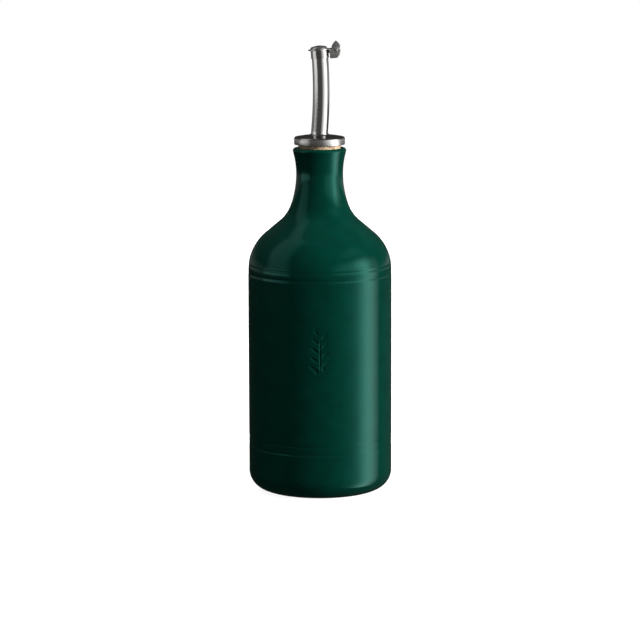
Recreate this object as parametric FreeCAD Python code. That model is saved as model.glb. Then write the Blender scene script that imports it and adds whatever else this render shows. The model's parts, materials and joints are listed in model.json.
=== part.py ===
import FreeCAD, Part
from math import acos, asin, atan, atan2, cos, degrees, hypot, radians, sin, sqrt, tan
import os

# Oil cruet: a glazed stoneware bottle, a tapered cork, and a steel pourer whose flap
# closes the spout by its own weight. Millimetres. The bottle's axis is Z, the foot ring
# stands on z = 0, and the flap's free end points to -X, the side that pours.

# Bottle
BOTTLE_HEIGHT = 179.8
BODY_RADIUS = 37.5
BODY_WALL = 4.8
FLOOR_THICKNESS = 5.0
INNER_FLOOR_FILLET = 7.0
SHOULDER_RADIUS = 25.1
SHOULDER_ANGLE = 49.9
NECK_RADIUS = 12.2
NECK_DROP = 13.6
NECK_ARC_RADIUS = 46.3
NECK_ARC_ANGLE = 21.1
NECK_ROOT_RADIUS = 18.9
INNER_ROOT_RADIUS = 23.0
LIP_WALL = 2.65
FOOT_INSET = 7.9
FOOT_ROUND_HEIGHT = 9.8
FOOT_RING_WIDTH = 4.2
FOOT_RECESS = 1.6
FOOT_RECESS_FILLET = 1.2

# Turned bands: two pairs of fine grooves with a slightly sunk land between them
BAND_HEIGHTS = (26.2, 116.7)
BAND_SPACING = 4.7
BAND_SINK = 0.18
GROOVE_TOOL_RADIUS = 0.8
GROOVE_DEPTH = 0.3

# Cork
CORK_RADIUS = 11.25
CORK_BOTTOM_RADIUS = 9.7
CORK_LENGTH = 27.3
CORK_SHOWING = 1.7
CORK_CHAMFER = 0.6
CORK_GAP = 0.05

# Pourer cap: a pressed steel disc with a turned-down skirt
CAP_OVERHANG = 1.95
CAP_HEIGHT = 4.0
CAP_SHEET = 0.7
CAP_CORNER = 0.9
CAP_CROWN = 0.75
CAP_HUB_WALL = 0.35
CAP_HUB_RISE = 0.9
CAP_HUB_FILLET = 0.8

# Spout tube: straight through the cork, then gently bowed towards +X
TUBE_FOOT_RADIUS = 4.4
TUBE_TIP_RADIUS = 4.25
TUBE_WALL = 0.6
TUBE_LEAD_RADIUS = 18.0
TUBE_HEIGHT = 44.8
TUBE_BOW_RISE = 0.87
TUBE_BELOW_CORK = 1.5
TUBE_GAP = 0.02

# Collar and hinge bracket at the tip of the tube
COLLAR_SHEET = 0.3
COLLAR_GAP = 0.06
COLLAR_HEIGHT = 3.9
COLLAR_DROP = 0.3
BRACKET_GAP = 0.5
BRACKET_DEPTH = 4.65
BRACKET_TOP_DROP = 0.3
BRACKET_BRIDGE = 1.5
BRACKET_HEEL_RADIUS = 4.2
EAR_THICKNESS = 1.1
EAR_TOP_RADIUS = 1.5
EAR_BACK = 2.3

# Hinge pin
PIN_RADIUS = 0.6
PIN_OFFSET = 8.6
PIN_DROP = 0.2
PIN_HEAD_RADIUS = 0.95
PIN_HEAD_TOP_RADIUS = 0.57
PIN_HEAD_HEIGHT = 0.4
PIN_SEAT_GAP = 0.01
PIN_RUNNING_GAP = 0.05

# Flap: a pressed dome with a strap, and a cast thumb lever on the strap
FLAP_RADIUS = 5.5
FLAP_OFFSET = -0.3
FLAP_SHEET = 0.55
FLAP_DOME_RADIUS = 4.4
FLAP_DOME_HEIGHT = 1.8
FLAP_SHOULDER_RADIUS = 1.4
FLAP_SEAT_GAP = 0.05
STRAP_WIDTH = 2.6
STRAP_END_GAP = 0.02
LEVER_WIDTH = 3.0
LEVER_SIDE_PLAY = 0.15
KNUCKLE_RADIUS = 1.15
LEVER_TIP_HEIGHT = 4.3
LEVER_TIP_LEAN = 0.25
LEVER_TIP_ROUND = 0.45
LEVER_FRONT = 2.3
LEVER_BACK = 2.4
LEVER_BACK_HEIGHT = 1.1
LEVER_EDGE_ROUND = 0.35
FLAP_OPEN_ANGLE = 95.0
FLAP_STOP_GAP = 0.1
KNUCKLE_FRONT_GAP = 0.3

# Cutters run at least this far past what they cut
CUT_PAST = 20.0

V = FreeCAD.Vector
Z = V(0, 0, 1)
Y = V(0, 1, 0)


def at(r, z):
    """Point of a half section, in the XZ plane."""
    return V(r, 0, z)


def line(a, b):
    return Part.LineSegment(a, b).toShape()


def arc(centre, radius, start, end):
    """Arc in the XZ plane between two angles in degrees, measured from +X towards +Z."""
    def point(angle):
        return centre + V(radius * cos(radians(angle)), 0, radius * sin(radians(angle)))
    return Part.Arc(point(start), point((start + end) / 2), point(end)).toShape()


def ends(edge):
    return edge.valueAt(edge.FirstParameter), edge.valueAt(edge.LastParameter)


def turned_round(edge):
    """The same arc, run from its other end."""
    first, last = ends(edge)
    middle = edge.valueAt((edge.FirstParameter + edge.LastParameter) / 2)
    return Part.Arc(last, middle, first).toShape()


def joined(curves):
    """Wire through the curves in order, with straight lines where two do not meet."""
    edges = []
    for index, curve in enumerate(curves):
        edges.append(curve)
        here = ends(curve)[1]
        there = ends(curves[(index + 1) % len(curves)])[0]
        if here.distanceToPoint(there) > 1e-6:
            edges.append(line(here, there))
    return Part.Wire(edges)


def revolved(curves):
    solid = Part.Face(joined(curves)).revolve(V(0, 0, 0), Z, 360)
    return solid.removeSplitter()


def extruded_in_y(wire, width):
    """Plate of this outline, centred on the XZ plane."""
    face = Part.Face(wire)
    face.translate(V(0, -width / 2, 0))
    return face.extrude(V(0, width, 0))


def rod_in_y(radius, width, x, z):
    return Part.makeCylinder(radius, width, V(x, -width / 2, z), Y)


def save(shape, node):
    solids = shape.Solids
    if len(solids) != 1 or not shape.isValid():
        raise ValueError(node + " is not one valid solid")
    solids[0].exportStep("parts/" + node + ".step")
    print(node, "volume", round(solids[0].Volume, 2))


# ---------------------------------------------------------------- derived sizes
lip_radius = CORK_RADIUS + LIP_WALL
cap_radius = CORK_RADIUS + CAP_OVERHANG
cap_low = BOTTLE_HEIGHT + CORK_SHOWING
cap_top = cap_low + CAP_HEIGHT
cork_top = cap_top - CAP_SHEET - CORK_GAP
cork_bottom = cork_top - CORK_LENGTH
cork_taper = (CORK_RADIUS - CORK_BOTTOM_RADIUS) / CORK_LENGTH
waist_z = BOTTLE_HEIGHT - NECK_DROP


def cork_radius(z):
    return CORK_RADIUS - cork_taper * (cork_top - z)


# The tube stands upright up to the hub's rim, leans over along a short lead-in arc, and
# the bow, one arc that starts and ends at the same angle, carries it to the tip.
hub_rim = cap_top + CAP_CROWN + CAP_HUB_RISE
bow_reach = cap_top + TUBE_HEIGHT - hub_rim


def bow_turn():
    """Angle at each end of the bow. It shortens the bow's chord, so it is found in steps."""
    turn = 0.0
    for step in range(12):
        turn = 2 * atan(2 * TUBE_BOW_RISE / (bow_reach - TUBE_LEAD_RADIUS * sin(turn)))
    return degrees(turn)


bow_angle = bow_turn()
bow_span = bow_reach - TUBE_LEAD_RADIUS * sin(radians(bow_angle))
bow_radius = bow_span / 2 / sin(radians(bow_angle))
lead_end = at(TUBE_LEAD_RADIUS * (1 - cos(radians(bow_angle))), cap_top + TUBE_HEIGHT - bow_span)
tip = lead_end + V(0, 0, bow_span)

# In the head's own frame the tube's rim is z = 0 and its centre the origin.
tube_taper = (TUBE_FOOT_RADIUS - TUBE_TIP_RADIUS) / bow_reach
collar_inner = TUBE_TIP_RADIUS + tube_taper * (COLLAR_DROP + COLLAR_HEIGHT) + COLLAR_GAP
collar_outer = collar_inner + COLLAR_SHEET
bracket_front = collar_outer + BRACKET_GAP
bracket_back = PIN_OFFSET + EAR_BACK
slot_width = LEVER_WIDTH + 2 * LEVER_SIDE_PLAY
bracket_width = slot_width + 2 * EAR_THICKNESS
pin_z = -PIN_DROP
flap_under = FLAP_SEAT_GAP
flap_top = flap_under + FLAP_SHEET
bracket_top = -BRACKET_TOP_DROP


def head_placed(shape):
    """Carry a shape from the head's frame to the tip of the bowed tube."""
    shape.rotate(V(0, 0, 0), Y, -bow_angle)
    shape.translate(tip)
    return shape


# ---------------------------------------------------------------- bottle
def shoulder_curves(neck_curves, root_end, root_angle, round_radius, wall_radius):
    """Close a neck with the straight slope and the convex shoulder down to the wall."""
    slope = radians(root_angle)
    shoulder_end_r = wall_radius - round_radius * (1 - cos(slope))
    shoulder_end_z = root_end.z - (shoulder_end_r - root_end.x) / tan(slope)
    wall_top_z = shoulder_end_z - round_radius * sin(slope)
    centre = at(wall_radius - round_radius, wall_top_z)
    return neck_curves + [arc(centre, round_radius, root_angle, 0)], wall_top_z


def outer_curves():
    """Outside from the lip's crown down to the foot."""
    lip_centre_r, lip_centre_z, lip_round = lip_circle()
    rise = lip_centre_z - waist_z
    # The flare is the arc that leaves the waist upright and touches the lip's round.
    step = lip_centre_r - NECK_RADIUS
    flare_radius = (rise ** 2 + step ** 2 - lip_round ** 2) / (2 * (step + lip_round))
    flare_centre = at(NECK_RADIUS + flare_radius, waist_z)
    touch = degrees(atan2(rise, lip_centre_r - flare_centre.x))
    lip = arc(at(lip_centre_r, lip_centre_z), lip_round, 90, touch - 180)
    flare = arc(flare_centre, flare_radius, touch, 180)
    upper = arc(at(NECK_RADIUS + NECK_ARC_RADIUS, waist_z), NECK_ARC_RADIUS, 180, 180 + NECK_ARC_ANGLE)
    upper_end = ends(upper)[1]
    turn = radians(NECK_ARC_ANGLE)
    root_centre = upper_end + V(NECK_ROOT_RADIUS * cos(turn), 0, NECK_ROOT_RADIUS * sin(turn))
    root = arc(root_centre, NECK_ROOT_RADIUS, 180 + NECK_ARC_ANGLE, 180 + SHOULDER_ANGLE)
    curves, wall_top = shoulder_curves([lip, flare, upper, root], ends(root)[1], SHOULDER_ANGLE,
                                       SHOULDER_RADIUS, BODY_RADIUS)
    foot_radius = (FOOT_ROUND_HEIGHT ** 2 + FOOT_INSET ** 2) / (2 * FOOT_INSET)
    foot_turn = degrees(asin(FOOT_ROUND_HEIGHT / foot_radius))
    curves.append(arc(at(BODY_RADIUS - foot_radius, FOOT_ROUND_HEIGHT), foot_radius, 0, -foot_turn))
    return curves, wall_top, ends(root)[1]


def lip_circle():
    """Centre radius, centre height and rounding of the full-round lip."""
    # The round spans from the cork's cone to the outside of the lip.
    seat_at_crown = cork_radius(BOTTLE_HEIGHT) + CORK_GAP
    lip_round = (lip_radius - seat_at_crown) / (2 - cork_taper)
    return lip_radius - lip_round, BOTTLE_HEIGHT - lip_round, lip_round


def under_curves():
    """Foot ring and the recess under the floor, from outside to the axis."""
    ring_outer = BODY_RADIUS - FOOT_INSET
    ring_inner = ring_outer - FOOT_RING_WIDTH
    centre = at(ring_inner - FOOT_RECESS_FILLET, FOOT_RECESS - FOOT_RECESS_FILLET)
    return [line(at(ring_outer, 0), at(ring_inner, 0)),
            arc(centre, FOOT_RECESS_FILLET, 0, 90),
            line(at(0, FOOT_RECESS), at(0, FOOT_RECESS + FLOOR_THICKNESS))]


def inner_curves(outer_root_end):
    """Inside from the axis up to the lip."""
    inner_radius = BODY_RADIUS - BODY_WALL
    slope = radians(SHOULDER_ANGLE)
    floor_z = FOOT_RECESS + FLOOR_THICKNESS
    throat_r = CORK_BOTTOM_RADIUS + CORK_GAP
    root_r = throat_r + INNER_ROOT_RADIUS * (1 - cos(slope))
    # The inner slope runs one wall thickness inside the outer one.
    step = BODY_WALL - (outer_root_end.x - root_r) * cos(slope)
    root_z = outer_root_end.z - step / sin(slope)
    throat_z = root_z + INNER_ROOT_RADIUS * sin(slope)
    throat = arc(at(throat_r + INNER_ROOT_RADIUS, throat_z), INNER_ROOT_RADIUS, 180,
                 180 + SHOULDER_ANGLE)
    curves, wall_top = shoulder_curves([throat], ends(throat)[1], SHOULDER_ANGLE,
                                       SHOULDER_RADIUS - BODY_WALL, inner_radius)
    floor_centre = at(inner_radius - INNER_FLOOR_FILLET, floor_z + INNER_FLOOR_FILLET)
    curves.append(arc(floor_centre, INNER_FLOOR_FILLET, 0, -90))
    return [turned_round(curve) for curve in reversed(curves)], throat_z


def bottle_shape():
    outside, wall_top, root_end = outer_curves()
    inside, throat_z = inner_curves(root_end)
    lip_r, lip_z, lip_round = lip_circle()
    seat_low = at(CORK_BOTTOM_RADIUS + CORK_GAP, cork_bottom)
    lip_inner = arc(at(lip_r, lip_z), lip_round, 180, 90)
    seat = line(seat_low, at(lip_r - lip_round, lip_z))
    solid = revolved(outside + under_curves() + inside + [seat, lip_inner])
    print("straight wall ends at", round(wall_top, 2), "throat starts at", round(throat_z, 2))
    return turned(solid, wall_top)


def turned(solid, wall_top):
    """Cut the two groove pairs and the sunk lands between them."""
    shoulder_centre = BODY_RADIUS - SHOULDER_RADIUS
    for height in BAND_HEIGHTS:
        low = height - BAND_SPACING / 2
        high = height + BAND_SPACING / 2
        land_radius = BODY_RADIUS - BAND_SINK
        band = Part.makeCylinder(BODY_RADIUS + 1, BAND_SPACING, at(0, low))
        band = band.cut(Part.makeCylinder(land_radius, BAND_SPACING, at(0, low)))
        solid = solid.cut(band)
        for groove_z in (low, high):
            over = max(groove_z - wall_top, 0)
            wall = shoulder_centre + sqrt(SHOULDER_RADIUS ** 2 - over ** 2)
            ring_radius = wall + GROOVE_TOOL_RADIUS - GROOVE_DEPTH
            solid = solid.cut(Part.makeTorus(ring_radius, GROOVE_TOOL_RADIUS, at(0, groove_z)))
    return solid


# ---------------------------------------------------------------- cork
def cork_shape():
    cone = Part.makeCone(CORK_BOTTOM_RADIUS, CORK_RADIUS, CORK_LENGTH, at(0, cork_bottom))
    rims = []
    for edge in cone.Edges:
        if edge.Closed and abs(edge.BoundBox.ZMax - cork_bottom) < 1e-6:
            rims.append(edge)
    cork = cone.makeChamfer(CORK_CHAMFER, rims)
    hole_radius = TUBE_FOOT_RADIUS + TUBE_GAP
    return cork.cut(Part.makeCylinder(hole_radius, CORK_LENGTH, at(0, cork_bottom)))


# ---------------------------------------------------------------- pourer cap
def cap_shape():
    """Pressed disc: crowned top, rounded corner, short skirt, and a hole for the tube."""
    top = cap_top
    flat_radius = cap_radius - CAP_CORNER
    inner_corner = CAP_CORNER - CAP_SHEET
    crown_radius = (flat_radius ** 2 + CAP_CROWN ** 2) / (2 * CAP_CROWN)
    hole = TUBE_FOOT_RADIUS + TUBE_GAP

    def crown(offset, edge_radius):
        """Crown arc from the tube's hole out to the corner, lowered by offset."""
        base = top - offset
        centre_z = base + CAP_CROWN - crown_radius

        def height(r):
            return centre_z + sqrt(crown_radius ** 2 - r ** 2)
        middle = (hole + edge_radius) / 2
        lift = base - height(edge_radius)
        points = [at(r, height(r) + lift) for r in (hole, middle, edge_radius)]
        return Part.Arc(*points).toShape()

    outer_top = crown(0, flat_radius)
    corner = arc(at(flat_radius, top - CAP_CORNER), CAP_CORNER, 90, 0)
    skirt_end = line(at(cap_radius, cap_low), at(cap_radius - CAP_SHEET, cap_low))
    inside_corner = arc(at(flat_radius, top - CAP_CORNER), inner_corner, 0, 90)
    inner_top = turned_round(crown(CAP_SHEET, flat_radius))
    disc = revolved([outer_top, corner, skirt_end, inside_corner, inner_top])
    hub_radius = hole + CAP_HUB_WALL
    hub = Part.makeCylinder(hub_radius, hub_rim - top, at(0, top))
    disc = disc.fuse(hub).cut(Part.makeCylinder(hole, CAP_HEIGHT, at(0, cap_low + CAP_HEIGHT / 2)))
    root = []
    for edge in disc.Edges:
        box = edge.BoundBox
        on_hub = abs(box.XMax - hub_radius) < 0.01 and abs(box.YMax - hub_radius) < 0.01
        if on_hub and edge.Closed and top < box.ZMax < hub_rim - CAP_HUB_RISE / 2:
            root.append(edge)
    return disc.removeSplitter().makeFillet(CAP_HUB_FILLET, root)


# ---------------------------------------------------------------- spout tube
def tube_solid(foot_radius, tip_radius):
    """Straight through the cork up to the hub's rim, then along the lead-in and the bow."""
    start = at(0, cork_bottom - TUBE_BELOW_CORK)
    straight = Part.makeCylinder(foot_radius, hub_rim - start.z, start)
    lead = arc(at(TUBE_LEAD_RADIUS, hub_rim), TUBE_LEAD_RADIUS, 180, 180 - bow_angle)
    bow_centre = lead_end + V(-bow_radius * cos(radians(bow_angle)), 0, bow_span / 2)
    bow = arc(bow_centre, bow_radius, -bow_angle, bow_angle)
    lean = V(-sin(radians(bow_angle)), 0, cos(radians(bow_angle)))
    neck = Part.Wire(Part.makeCircle(foot_radius, at(0, hub_rim), Z))
    mouth = Part.Wire(Part.makeCircle(tip_radius, tip, lean))
    bowed = Part.Wire([lead, bow]).makePipeShell([neck, mouth], True, False)
    return straight.fuse(bowed)


def tube_shape():
    outside = tube_solid(TUBE_FOOT_RADIUS, TUBE_TIP_RADIUS)
    inside = tube_solid(TUBE_FOOT_RADIUS - TUBE_WALL, TUBE_TIP_RADIUS - TUBE_WALL)
    return outside.cut(inside)


# ---------------------------------------------------------------- collar and bracket
def heel_depth():
    """How far below the pin the lever's back corner lies when the flap is open."""
    turn = radians(FLAP_OPEN_ANGLE)
    return LEVER_BACK * sin(turn) - LEVER_BACK_HEIGHT * cos(turn)


def bracket_wire():
    """Side outline of the bracket: flat front and foot, rounded heel, ears round the pin."""
    pin = at(PIN_OFFSET, pin_z)
    foot_z = -BRACKET_DEPTH
    back_top = at(bracket_back, pin_z - EAR_TOP_RADIUS / 2)
    # Round heel from the upright back to the flat foot
    heel_centre = at(bracket_back - BRACKET_HEEL_RADIUS, back_top.z)
    sweep = degrees(asin(min((back_top.z - foot_z) / BRACKET_HEEL_RADIUS, 1)))
    heel = arc(heel_centre, BRACKET_HEEL_RADIUS, 0, -sweep)
    front_low = at(bracket_front, foot_z)
    front_top = at(bracket_front, bracket_top)
    ear_touch_back = tangent_angle(back_top, pin, EAR_TOP_RADIUS, 1)
    ear_touch_front = tangent_angle(front_top, pin, EAR_TOP_RADIUS, -1)
    ear = arc(pin, EAR_TOP_RADIUS, ear_touch_front, ear_touch_back)
    return joined([ear, heel, line(front_low, front_top)])


def tangent_angle(outside, centre, radius, side):
    """Angle on a circle where the tangent from an outside point touches it."""
    away = outside - centre
    reach = hypot(away.x, away.z)
    heading = degrees(atan2(away.z, away.x))
    return (heading + side * degrees(acos(min(radius / reach, 1)))) % 360


def collar_shape():
    low = -COLLAR_DROP - COLLAR_HEIGHT
    band = Part.makeCylinder(collar_outer, COLLAR_HEIGHT, at(0, low))
    bore = Part.makeCylinder(collar_inner, CUT_PAST, at(0, -CUT_PAST / 2))
    bracket = extruded_in_y(bracket_wire(), bracket_width)
    # The bridge joins the bracket to the band at its top only.
    bridge_end = bracket_front + BRACKET_GAP
    bridge = Part.makeBox(bridge_end, bracket_width, BRACKET_BRIDGE,
                          V(0, -bracket_width / 2, bracket_top - BRACKET_BRIDGE))
    slot_floor = pin_z - heel_depth() - FLAP_STOP_GAP
    slot_front = PIN_OFFSET - KNUCKLE_RADIUS - KNUCKLE_FRONT_GAP
    slot = Part.makeBox(CUT_PAST, slot_width, CUT_PAST, V(slot_front, -slot_width / 2, slot_floor))
    saddle = Part.makeBox(CUT_PAST, slot_width, CUT_PAST, V(0, -slot_width / 2, bracket_top))
    hole = rod_in_y(PIN_RADIUS + PIN_SEAT_GAP, CUT_PAST, PIN_OFFSET, pin_z)
    shape = band.fuse([bracket, bridge]).cut([bore, slot, saddle, hole]).removeSplitter()
    return head_placed(shape)


def pin_shape():
    shank = rod_in_y(PIN_RADIUS, bracket_width, PIN_OFFSET, pin_z)
    heads = []
    for side in (-1, 1):
        seat = V(PIN_OFFSET, side * bracket_width / 2, pin_z)
        head = Part.makeCone(PIN_HEAD_RADIUS, PIN_HEAD_TOP_RADIUS, PIN_HEAD_HEIGHT, seat,
                             V(0, side, 0))
        heads.append(head)
    return head_placed(shank.fuse(heads))


# ---------------------------------------------------------------- flap
def flap_lid_shape():
    """Pressed lid: flat brim, dished crown, and the strap that runs back to the lever."""

    def dome(foot_r, corner_r, start_z):
        """Crown arc from the axis, and the corner arc that it runs smoothly into."""
        inner_r = foot_r - corner_r
        side = FLAP_DOME_HEIGHT - corner_r
        crown_r = (inner_r ** 2 + side ** 2 - corner_r ** 2 + 2 * side * corner_r) / (2 * side)
        centre_z = start_z + FLAP_DOME_HEIGHT - crown_r
        touch = degrees(atan2(start_z - centre_z, inner_r))
        corner_arc = arc(at(inner_r, start_z), corner_r, touch, 0)
        crown_arc = arc(at(0, centre_z), crown_r, 90, touch)
        return [crown_arc, corner_arc]

    brim = line(at(FLAP_RADIUS, flap_top), at(FLAP_RADIUS, flap_under))
    outer = dome(FLAP_DOME_RADIUS, FLAP_SHOULDER_RADIUS, flap_top)
    inner = dome(FLAP_DOME_RADIUS - FLAP_SHEET, FLAP_SHOULDER_RADIUS - FLAP_SHEET / 2, flap_under)
    outside = revolved(outer + [brim, line(at(0, flap_under), ends(outer[0])[0])])
    hollow = revolved(inner + [line(at(0, flap_under), ends(inner[0])[0])])
    outside.translate(V(FLAP_OFFSET, 0, 0))
    hollow.translate(V(FLAP_OFFSET, 0, 0))
    strap_length = PIN_OFFSET - KNUCKLE_RADIUS - STRAP_END_GAP - FLAP_OFFSET
    strap = Part.makeBox(strap_length, STRAP_WIDTH, FLAP_SHEET,
                         V(FLAP_OFFSET, -STRAP_WIDTH / 2, flap_under))
    return head_placed(outside.fuse(strap).cut(hollow).removeSplitter())


def lever_shape():
    """Cast lever: pointed thumb tab above the pin, knuckle round it, foot on the strap."""
    pin = at(PIN_OFFSET, pin_z)
    tip_centre = pin + at(LEVER_TIP_LEAN, LEVER_TIP_HEIGHT - LEVER_TIP_ROUND)
    front = at(PIN_OFFSET - LEVER_FRONT, flap_top)
    front_high = at(PIN_OFFSET - LEVER_FRONT, flap_top + LEVER_EDGE_ROUND)
    back = pin + at(LEVER_BACK, LEVER_BACK_HEIGHT)
    tip_arc = arc(tip_centre, LEVER_TIP_ROUND, tangent_angle(front_high, tip_centre, LEVER_TIP_ROUND, -1),
                  tangent_angle(back, tip_centre, LEVER_TIP_ROUND, 1))
    knuckle_back = tangent_angle(back, pin, KNUCKLE_RADIUS, -1) - 360
    knuckle = arc(pin, KNUCKLE_RADIUS, knuckle_back, -180)
    step = at(PIN_OFFSET - KNUCKLE_RADIUS, flap_top)
    outline = joined([tip_arc, line(back, ends(knuckle)[0]), knuckle, line(step, front),
                      line(front, front_high)])
    body = extruded_in_y(outline, LEVER_WIDTH)
    hole = rod_in_y(PIN_RADIUS + PIN_RUNNING_GAP, CUT_PAST, PIN_OFFSET, pin_z)
    return head_placed(body.cut(hole))


os.makedirs("parts", exist_ok=True)
save(bottle_shape(), "bottle")
save(cork_shape(), "cork_stopper")
save(cap_shape(), "pourer_cap")
save(tube_shape(), "spout_tube")
save(collar_shape(), "hinge_collar")
save(pin_shape(), "hinge_pin")
save(flap_lid_shape(), "flap_lid")
save(lever_shape(), "thumb_lever")
pin_world = V(PIN_OFFSET, 0, pin_z)
pin_world = FreeCAD.Rotation(Y, -bow_angle).multVec(pin_world) + tip
print("hinge axis at", [round(value, 6) for value in pin_world])
print("spout lean", round(bow_angle, 3), "tip", [round(value, 3) for value in tip])
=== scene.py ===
# %% [markdown]
# # An oil cruet: glazed stoneware, cork and polished steel
# The cruet is a stoneware bottle with a deep green glaze. A tapered cork carries a steel
# pourer: a skirted disc, a slim bowed tube, and a hinged flap that drops over the mouth by
# its own weight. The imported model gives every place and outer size. Thicknesses and curves,
# which a box can't tell, are written here again, and this lesson dresses the model.

# %% Load the frame
import json
from math import acos, asin, atan, atan2, cos, degrees, hypot, pi, radians, sin, sqrt, tan

import bpy
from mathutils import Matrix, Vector


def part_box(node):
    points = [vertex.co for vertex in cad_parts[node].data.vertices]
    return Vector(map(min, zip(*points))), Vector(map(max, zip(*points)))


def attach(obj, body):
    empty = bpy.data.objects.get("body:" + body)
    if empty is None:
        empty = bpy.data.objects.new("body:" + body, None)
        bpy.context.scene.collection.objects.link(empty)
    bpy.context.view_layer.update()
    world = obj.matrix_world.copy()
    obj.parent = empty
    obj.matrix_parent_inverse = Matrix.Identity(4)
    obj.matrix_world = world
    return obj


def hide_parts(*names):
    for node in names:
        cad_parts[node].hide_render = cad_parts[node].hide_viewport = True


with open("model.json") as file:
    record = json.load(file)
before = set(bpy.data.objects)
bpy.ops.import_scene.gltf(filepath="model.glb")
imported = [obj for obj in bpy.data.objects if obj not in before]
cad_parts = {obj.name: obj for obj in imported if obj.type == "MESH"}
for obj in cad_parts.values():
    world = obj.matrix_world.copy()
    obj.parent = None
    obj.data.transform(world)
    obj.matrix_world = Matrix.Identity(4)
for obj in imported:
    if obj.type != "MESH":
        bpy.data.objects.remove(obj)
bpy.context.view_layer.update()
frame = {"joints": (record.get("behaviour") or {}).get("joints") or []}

MM = 0.001
hinge = frame["joints"][0]
bottle_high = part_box("bottle")[1]
BODY_RADIUS = bottle_high.x
BOTTLE_HEIGHT = bottle_high.z
print("bottle", round(BODY_RADIUS / MM, 2), "mm radius,", round(BOTTLE_HEIGHT / MM, 2), "mm high")
print("the flap turns from", *hinge["range_deg"], "degrees")

# %% [markdown]
# ## Small tools
# Three habits keep a script like this steady. Everything is deselected before a new piece
# starts, because an operator acts on all that is selected. A piece is finished at the
# origin, unturned and unscaled, so patterns on Object coordinates stay put. And each
# outline is drawn as points on true arcs, so a size can change without redrawing.

# %% Selecting and finishing
EDGE_ANGLE = 35
WELD_GAP = 0.002 * MM


def alone(piece):
    """Select only this piece and make it active."""
    bpy.ops.object.select_all(action="DESELECT")
    piece.select_set(True)
    bpy.context.view_layer.objects.active = piece
    return piece


def settle(piece):
    """Bake the object's own place into its mesh."""
    alone(piece)
    bpy.ops.object.transform_apply(location=True, rotation=True, scale=True)
    return piece


def modify(piece, kind, **settings):
    """Add one modifier with its settings and apply it."""
    alone(piece)
    modifier = piece.modifiers.new(kind.title(), kind)
    for name, value in settings.items():
        setattr(modifier, name, value)
    bpy.ops.object.modifier_apply(modifier=modifier.name)
    return piece


def smooth(piece, angle=EDGE_ANGLE):
    """Shade smooth, apart from edges that turn by more than this angle."""
    alone(piece)
    bpy.ops.object.shade_smooth_by_angle(angle=radians(angle))
    return piece


def edit_all(piece):
    """Go into edit mode on this piece, with all of it selected."""
    alone(piece)
    bpy.ops.object.mode_set(mode="EDIT")
    bpy.ops.mesh.select_all(action="SELECT")


def leave_edit():
    """Go back to object mode, which also writes the edits to the mesh."""
    bpy.ops.object.mode_set(mode="OBJECT")


def shut_and_face_out(piece, gap=WELD_GAP):
    """Merge doubles, then turn every face outwards."""
    edit_all(piece)
    bpy.ops.mesh.remove_doubles(threshold=gap)
    bpy.ops.mesh.normals_make_consistent(inside=False)
    leave_edit()
    return piece


# %% Outlines and the lathe
def begin(name, primitive, **settings):
    """Deselect everything, then add one primitive under this name."""
    bpy.ops.object.select_all(action="DESELECT")
    primitive(**settings)
    piece = bpy.context.object
    piece.name = name
    piece.data.name = name
    return piece


def arc(centre, radius, start, end, steps):
    """Points of an arc in the (radius, height) plane, angles in degrees."""
    points = []
    for step in range(steps + 1):
        angle = radians(start + (end - start) * step / steps)
        points.append((centre[0] + radius * cos(angle), centre[1] + radius * sin(angle)))
    return points


def draw_chain(name, points):
    """A new object whose mesh is one chain of edges through (x, z) points."""
    piece = begin(name, bpy.ops.mesh.primitive_plane_add, size=MM)
    edit_all(piece)
    bpy.ops.mesh.select_mode(type="VERT")
    bpy.ops.mesh.merge(type="CENTER")
    bpy.ops.transform.translate(value=(points[0][0], 0, points[0][1]))
    for here, there in zip(points, points[1:]):
        step = (there[0] - here[0], 0, there[1] - here[1])
        bpy.ops.mesh.extrude_region_move(TRANSFORM_OT_translate={"value": step})
    leave_edit()
    return piece


def lathe(name, points, steps=96):
    """Spin an outline once round the Z axis, as a potter's wheel or a lathe would."""
    piece = draw_chain(name, points)
    edit_all(piece)
    bpy.ops.mesh.spin(steps=steps, angle=2 * pi, center=(0, 0, 0), axis=(0, 0, 1))
    leave_edit()
    return shut_and_face_out(piece)


# %% [markdown]
# ## Materials
# Colours are written as the sRGB hex values that a colour picker shows, and one function
# turns them into the linear values that the shader wants. One more function adds a node
# with its settings and links. Patterns read Object coordinates in metres, so a pattern's
# scale is one over a real size.

# %% Colour and node helpers
WHITE = "#FFFFFF"


def linear(hex_colour):
    """Linear RGBA from an sRGB hex string, by the curve of the sRGB standard."""
    values = []
    for start in (1, 3, 5):
        channel = int(hex_colour[start:start + 2], 16) / 255
        values.append(channel / 12.92 if channel <= 0.04045 else ((channel + 0.055) / 1.055) ** 2.4)
    return (*values, 1.0)


def link(made, links):
    """Link a node's inputs to sockets, or to the first output of other nodes."""
    for socket, source in links.items():
        made.id_data.links.new(getattr(source, "outputs", [source])[0], made.inputs[socket])


def node(tree, kind, links=None, inputs=None, stops=(), **settings):
    """Add a node, set its properties and inputs, and link its inputs.

    A socket goes by its name, or by its number where the node has several of one name:
    on a colour Mix node 6 and 7 are A and B, and its result is output 2. The stops of a
    colour ramp are (position, hex) pairs."""
    made = tree.nodes.new("ShaderNode" + kind)
    for name, value in settings.items():
        setattr(made, name, value)
    for socket, value in (inputs or {}).items():
        made.inputs[socket].default_value = value
    link(made, links or {})
    for count, (position, colour) in enumerate(stops):
        elements = made.color_ramp.elements
        element = elements[count] if count < len(elements) else elements.new(position)
        element.position = position
        element.color = linear(colour)
    return made


def new_material(name):
    """An empty node material: its tree, Principled shader and Object coordinates."""
    material = bpy.data.materials.new(name)
    material.use_nodes = True
    tree = material.node_tree
    shader = tree.nodes["Principled BSDF"]
    place = node(tree, "TexCoord").outputs["Object"]
    return material, tree, shader, place


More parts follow.
